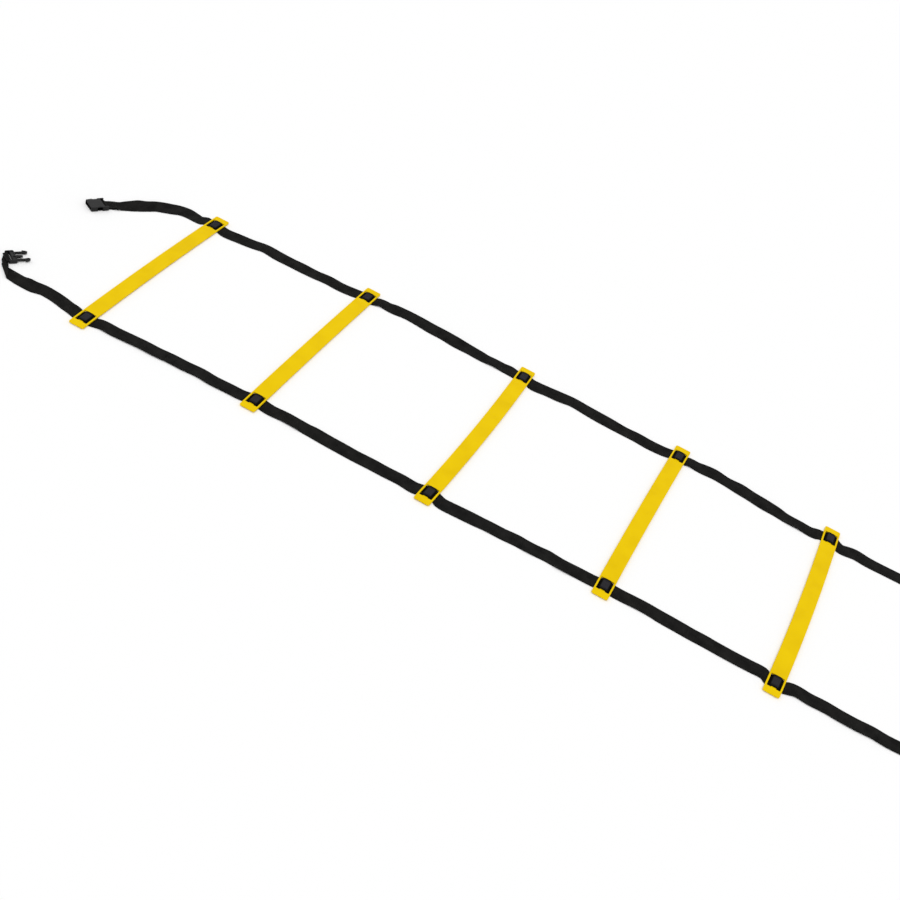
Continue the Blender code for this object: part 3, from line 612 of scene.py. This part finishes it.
MALE_LIE = ((-31, -236, .5), (-46, -233.5, 0), (-61, -230, 0), (-81, -227, 0), (-101, -226.8, 1),
            (-109, -229.3, 2.5), (-121, -233.3, 4), (-138, -233.5, 3.5))
MALE_LAST = (-152, -233)
FEMALE_LIE = ((-22.5, 210, 0), (-31, 203, 0), (-42, 202.5, .5), (-61, 202, 3.5), (-79, 197.5, 4),
              (-93, 187.5, 5.5), (-107, 178.6, 6), (-120.5, 170, 5), (-131.5, 157.7, 5),
              (-143, 144, 7.5), (-154, 132.5, 5), (-165, 122.5, 1.7), (-176.5, 111, -2.5))

# The male tail above its crease, in mm: the left and the right edge, each (x, y, z). Then how far
# the crease lies behind its place in the solids, the radius it rolls over at and how far its
# corner is tucked in
NECK = (((-205, -214, 4.2), (-173, -237.5, 4.2)), ((-207.5, -212, 4.2), (-179.5, -228.5, 4.4)),
        ((-210, -209, 3.8), (-186, -220, 4.6)), ((-212.2, -205.5, 3.2), (-192.2, -211.8, 4.8)),
        ((-214.3, -201, 2.6), (-198.4, -211.4, 4.0)), ((-217.2, -195.3, 2), (-201.6, -209, 2.4)))
CREASE_BACK = 0.4
CREASE_ROLL = 1.7
CREASE_TUCK = 3.0

# Sewing: the thread, where in its pitch a stitch starts and the share it takes, how it bulges,
# sinks in and tapers. Then rows counted back from the tail's end and insets as shares of its width
THREAD_RADIUS = 0.00024
THREAD_SIDES = 6
STITCH_PITCH = 0.0032
STITCH_RINGS = 5
STITCH_START = 0.10
STITCH_SHARE = 0.80
STITCH_BULGE_START = 0.12
STITCH_SINK = 0.65
THREAD_TAPER = 0.45
TACK_ROWS = (0.5, 1.6)
TACK_INSET = 0.08
BOX_ROWS = (3.6, 0.4)
BOX_INSET = 0.1


def end_matrix(right_end):
    left = Matrix.Translation((PLACES[0].translation.x, 0.0, 0.0))
    return Matrix.Rotation(math.pi, 4, "Z") @ left if right_end else left


def flat_row(centre, across, width, z):
    middle = Vector((centre.x, centre.y, z))
    return (middle + across * width / 2, middle - across * width / 2)


def loop_rows(centre, way):
    """Webbing of the loop's width round a buckle bar, from below it to above it."""
    across = left_of(way)
    rows = []
    for step in range(LOOP_STEPS + 1):
        angle = math.pi * step / LOOP_STEPS
        out = centre + way * (LOOP_RADIUS * math.sin(angle))
        rows.append(flat_row(out, across, LOOP_WIDTH, BAR_HEIGHT - LOOP_RADIUS * math.cos(angle)))
    return rows


def drop_rows(centre, way, height, drop):
    """Down from the bar's top on to the lower webbing."""
    top = BAR_HEIGHT + LOOP_RADIUS
    rows = []
    for step in range(1, DROP_STEPS + 1):
        back = centre - way * (drop * step / DROP_STEPS)
        level = top + (height - top) * smooth(step / DROP_STEPS)
        rows.append(flat_row(back, left_of(way), LOOP_WIDTH, level))
    return rows


def left_seam(side):
    """The seam at rung 1's outer side, measured from rung 1."""
    back = Matrix.Translation((-PLACES[0].translation.x, 0.0, 0.0))
    a, b = seam_row(0, side, -1)
    return (back @ a, back @ b)


def sheared(start, end, steps):
    """Rows between two rows, without either."""
    shares = [k / steps for k in range(1, steps)]
    return [(start[0].lerp(end[0], share), start[1].lerp(end[1], share)) for share in shares]


def route_rows(first, lie, last, last_way):
    """Rows from the seam along a tail's places to a last row. The first edge is the near one."""
    start, end = (first[0] + first[1]) / 2, (last[0] + last[1]) / 2
    knots = [Vector((start.x, start.y, 0.0))] + [Vector(place) * MM for place in lie]
    knots.append(Vector((end.x, end.y, 0.0)))
    ways = [(knots[1] - knots[0]).normalized()]
    for before, after in zip(knots, knots[2:]):
        ways.append((after - before).normalized())
    ways.append(last_way)
    rows = [first]
    for index in range(len(knots) - 1):
        a, b = knots[index], knots[index + 1]
        reach = (b - a).length
        steps = max(2, round(reach / STEP))
        for step in range(1, steps + 1):
            t = step / steps
            point = hermite(a, ways[index] * reach, b, ways[index + 1] * reach, t)
            along = ways[index].lerp(ways[index + 1], t)
            if index == 0:
                along = heading(180.0 + TURN_DEGREES[0]).lerp(along, smooth(t))
            rows.append(tilted_row(point.x, point.y, -left_of(along).normalized(), point.z))
    rows[-1] = last
    return rows


def male_tail_rows():
    """Along the floor in waves, over a soft slanted crease and up the neck to the bar."""
    crease_way = heading(CREASE_HEADING)
    half = WEB_WIDTH / abs(math.cos(math.radians(CREASE_HEADING - 90))) / 2
    away = left_of(crease_way)
    middle = Vector((*MALE_CREASE, 0.0)) - away * (CREASE_BACK * MM)
    low = Vector((0.0, 0.0, WEB_MID))
    crease = (middle - crease_way * half + low, middle + crease_way * half + low)
    square = Vector((*MALE_LAST, 0.0)) * MM
    last = flat_row(square, Vector((0.0, -1.0, 0.0)), WEB_WIDTH, WEB_MID)
    rows = route_rows(left_seam(-1), MALE_LIE, last, heading(180.0))
    rows += sheared(last, crease, CREASE_LEAD_STEPS)
    rows = [(far, near) for near, far in rows]
    roll = CREASE_ROLL * MM
    for step in range(CREASE_STEPS + 1):
        angle = math.pi * step / CREASE_STEPS
        rise = Vector((0.0, 0.0, WEB_MID + roll * (1 - math.cos(angle))))
        out = away * (roll * math.sin(angle)) + rise
        tuck = crease_way * (CREASE_TUCK * MM * math.sin(angle / 2))
        rows.append((middle + crease_way * half + out, middle - crease_way * half + out + tuck))
    rows += [(Vector(left) * MM, Vector(right) * MM) for left, right in NECK]
    way = heading(MALE_HEADING)
    across = left_of(way)
    bar = Vector((*MALE_BAR, 0.0))
    rows.append(flat_row(bar - way * MALE_LEAD, across, LOOP_WIDTH, WEB_MID + LAYER_STEP / 2))
    height = WEB_MID + 2 * LAYER_STEP
    rows += loop_rows(bar, way) + drop_rows(bar, way, height, MALE_SEWN_DROP)
    end = bar - way * (MALE_SEWN_DROP + MALE_SEWN_LENGTH)
    rows.append(flat_row(end, across, LOOP_WIDTH, height))
    return rows


def female_tail_rows():
    """Along the floor in a bend with its far edge up, round the bar and back on itself."""
    bar = Vector((*FEMALE_BAR, 0.0))
    way = heading(FEMALE_HEADING)
    rear = flat_row(bar - way * FEMALE_LEAD, left_of(way), LOOP_WIDTH, WEB_MID)
    lower = route_rows(left_seam(1), FEMALE_LIE, rear, way)
    rows = lower + loop_rows(bar, way)
    rows += drop_rows(bar, way, WEB_MID + LAYER_STEP, FEMALE_SEWN_DROP)
    reach, normals = 0.0, row_normals(lower)
    inset = (1 - LOOP_WIDTH / WEB_WIDTH) / 2
    for index in range(len(lower) - 2, 0, -1):
        before, here = lower[index + 1], lower[index]
        reach += ((here[0] + here[1]) - (before[0] + before[1])).length / 2
        rise = normals[index] * -LAYER_STEP
        rows.append((here[0].lerp(here[1], inset) + rise, here[1].lerp(here[0], inset) + rise))
        if reach > FEMALE_SEWN_LENGTH:
            break
    return rows


def on_rows(rows, u, v):
    """The point and the normal at a place between rows and across them."""
    index = min(int(u), len(rows) - 2)
    a = rows[index][0].lerp(rows[index + 1][0], u - index)
    b = rows[index][1].lerp(rows[index + 1][1], u - index)
    along = (rows[index + 1][0] + rows[index + 1][1]) - (rows[index][0] + rows[index][1])
    return a.lerp(b, v), along.cross(b - a).normalized()


def stitches(name, rows, seams):
    """Sewing thread as short raised stitches along seams, each between two (row, share) places."""
    verts, faces = [], []
    for (u0, v0), (u1, v1) in seams:
        a, b = on_rows(rows, u0, v0)[0], on_rows(rows, u1, v1)[0]
        count = max(1, round((b - a).length / STITCH_PITCH))
        for stitch in range(count):
            base = len(verts)
            for ring in range(STITCH_RINGS):
                share = ring / (STITCH_RINGS - 1)
                t = (stitch + STITCH_START + STITCH_SHARE * share) / count
                u, v = u0 + (u1 - u0) * t, v0 + (v1 - v0) * t
                point, normal = on_rows(rows, u, v)
                side = normal.cross(b - a).normalized()
                rise = STITCH_BULGE_START + (1 - 2 * STITCH_BULGE_START) * share
                bulge = math.sin(math.pi * rise)
                lift = WEB_THICK / 2 + THREAD_RADIUS * (bulge - STITCH_SINK)
                centre = point + normal * lift
                radius = THREAD_RADIUS * (THREAD_TAPER + (1 - THREAD_TAPER) * bulge)
                for k in range(THREAD_SIDES):
                    angle = 2 * math.pi * k / THREAD_SIDES
                    out = side * math.cos(angle) + normal * math.sin(angle)
                    verts.append(centre + out * radius)
            faces += tube_faces(STITCH_RINGS, THREAD_SIDES, base)
    piece = add_mesh(name, verts, faces, THREAD)
    return piece


def tack_seams(last):
    """Two lines across the male tail's end, there and back."""
    outer, inner = [last - row for row in TACK_ROWS]
    low, high = TACK_INSET, 1 - TACK_INSET
    return [((outer, low), (outer, high)), ((inner, high), (inner, low))]


def box_seams(last):
    """A box with a cross in it on the female tail's end."""
    start, end = [last - row for row in BOX_ROWS]
    low, high = BOX_INSET, 1 - BOX_INSET
    corners = [(start, low), (start, high), (end, high), (end, low), (start, low)]
    cross = [((start, low), (end, high)), ((start, high), (end, low))]
    return list(zip(corners, corners[1:])) + cross


def build_tail(name, rows, node, right_end, seams):
    """A tail beside the end rung with its stitches, put in place of the model's own tail."""
    matrix = end_matrix(right_end)
    rows = [(matrix @ a, matrix @ b) for a, b in rows]
    piece = ribbon(name, rows)
    for part in (piece, stitches(name + "_stitches", rows, seams)):
        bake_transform(part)
    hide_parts(node)


# Male buckles: each arm flares into the body at its root

ROOT_SECTIONS = ((-.7, 2.3, 2.35), (0, 2.25, 2.4), (.5, 2.05, 2.5), (1.4, 1.8, 2.56),
                 (3, 1.62, 2.58), (4.6, 1.56, 2.56), (5.2, 1.3, 2.2))
ROOT_SIDES = 20
ROOT_ROUNDNESS = 0.5


def build_arm_root(end_name, letter, side, right_end):
    """A flared root, (along, half width, half height) in mm, between body and arm."""
    turn = Matrix.Rotation(math.radians(MALE_HEADING), 4, "Z")
    place = end_matrix(right_end) @ Matrix.Translation((*MALE_BAR, BAR_HEIGHT)) @ turn
    name = f"{end_name}_male_buckle_arm_{letter}_root"
    middle = Vector((SHOULDER, side * ARM_PITCH / 2, MALE_THICK / 2 - BAR_HEIGHT))
    verts = []
    for along, half_wide, half_high in ROOT_SECTIONS:
        for k in range(ROOT_SIDES):
            angle = 2 * math.pi * k / ROOT_SIDES
            c, s = math.cos(angle), math.sin(angle)
            y = half_wide * MM * math.copysign(abs(c) ** ROOT_ROUNDNESS, c)
            z = half_high * MM * math.copysign(abs(s) ** ROOT_ROUNDNESS, s)
            verts.append(place @ (middle + Vector((along * MM, y, z))))
    piece = add_mesh(name, verts, tube_faces(len(ROOT_SECTIONS), ROOT_SIDES), BLACK, 2)
    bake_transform(piece)


# The ladder

def repaint(node, material):
    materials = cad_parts[node].data.materials
    materials.clear()
    materials.append(material)


for rung in range(RUNG_COUNT):
    repaint(f"rung_{rung + 1}", YELLOW)
    for strap_side in (-1, 1):
        build_weave(rung, strap_side)
for bay_index in range(RUNG_COUNT - 1):
    for strap_side in (-1, 1):
        build_bay(bay_index, strap_side)
for is_right, end_name in ((False, "left"), (True, "right")):
    for kind, tail, seams in (("male", male_tail_rows(), tack_seams),
                              ("female", female_tail_rows(), box_seams)):
        build_tail(f"{end_name}_webbing_to_{kind}_buckle", tail,
                   f"{end_name}_tail_to_{kind}_buckle", is_right, seams(len(tail) - 1))
    for arm_letter, arm_side in (("a", 1), ("b", -1)):
        build_arm_root(end_name, arm_letter, arm_side, is_right)
    for part in ("male_buckle", "male_buckle_arm_a", "male_buckle_arm_b", "female_buckle"):
        repaint(f"{end_name}_{part}", BLACK)


# Floor, light and camera

def build_floor():
    material = bpy.data.materials.new("white_floor")
    material.use_nodes = True
    shader = material.node_tree.nodes["Principled BSDF"]
    shader.inputs["Base Color"].default_value = FLOOR_COLOUR
    shader.inputs["Roughness"].default_value = 0.9
    shader.inputs["Specular IOR Level"].default_value = 0.0
    corners = [(x * FLOOR_REACH, y * FLOOR_REACH, FLOOR_HEIGHT)
               for x, y in ((-1, -1), (1, -1), (1, 1), (-1, 1))]
    floor = add_mesh("studio_floor", corners, [(0, 1, 2, 3)], material, 1)


def build_light():
    world = bpy.data.worlds.new("studio")
    bpy.context.scene.world = world
    world.use_nodes = True
    tree = world.node_tree
    background = tree.nodes["Background"]
    background.inputs["Color"].default_value = (1.0, 1.0, 1.0, 1.0)
    path = tree.nodes.new("ShaderNodeLightPath")
    level = tree.nodes.new("ShaderNodeMapRange")
    level.inputs["To Min"].default_value = LIGHT_LEVEL
    level.inputs["To Max"].default_value = WHITE_LEVEL
    seen = path.outputs["Is Camera Ray"]
    for word in ("Is Glossy Ray", "Is Transmission Ray"):
        both = tree.nodes.new("ShaderNodeMath")
        both.operation = "ADD"
        both.use_clamp = True
        tree.links.new(seen, both.inputs[0])
        tree.links.new(path.outputs[word], both.inputs[1])
        seen = both.outputs[0]
    tree.links.new(seen, level.inputs["Value"])
    tree.links.new(level.outputs["Result"], background.inputs["Strength"])
    lamp = bpy.data.lights.new("soft_key", "SUN")
    lamp.energy = LAMP_STRENGTH
    lamp.angle = math.radians(LAMP_DEGREES)
    key = bpy.data.objects.new("soft_key", lamp)
    bpy.context.scene.collection.objects.link(key)
    key.location = LAMP_PLACE
    key.rotation_mode = "QUATERNION"
    key.rotation_quaternion = key.location.to_track_quat("Z", "Y")


def build_camera():
    down, turn, roll = (math.radians(a) for a in (CAMERA_DOWN, CAMERA_TURN, CAMERA_ROLL))
    level = math.cos(down)
    ahead = Vector((math.sin(turn) * level, math.cos(turn) * level, -math.sin(down)))
    right = Vector((math.cos(turn), -math.sin(turn), 0.0))
    below = ahead.cross(right)
    x_axis = right * math.cos(roll) - below * math.sin(roll)
    y_axis = -(right * math.sin(roll) + below * math.cos(roll))
    data = bpy.data.cameras.new("photo_camera")
    data.lens = LENS_MM
    data.sensor_width = SENSOR_MM
    camera = bpy.data.objects.new("photo_camera", data)
    bpy.context.scene.collection.objects.link(camera)
    matrix = Matrix((x_axis, y_axis, -ahead)).transposed().to_4x4()
    matrix.translation = Vector(CAMERA_PLACE)
    camera.matrix_world = matrix
    bpy.context.scene.camera = camera


build_floor()
build_light()
build_camera()
bpy.context.scene.view_settings.view_transform = "Standard"
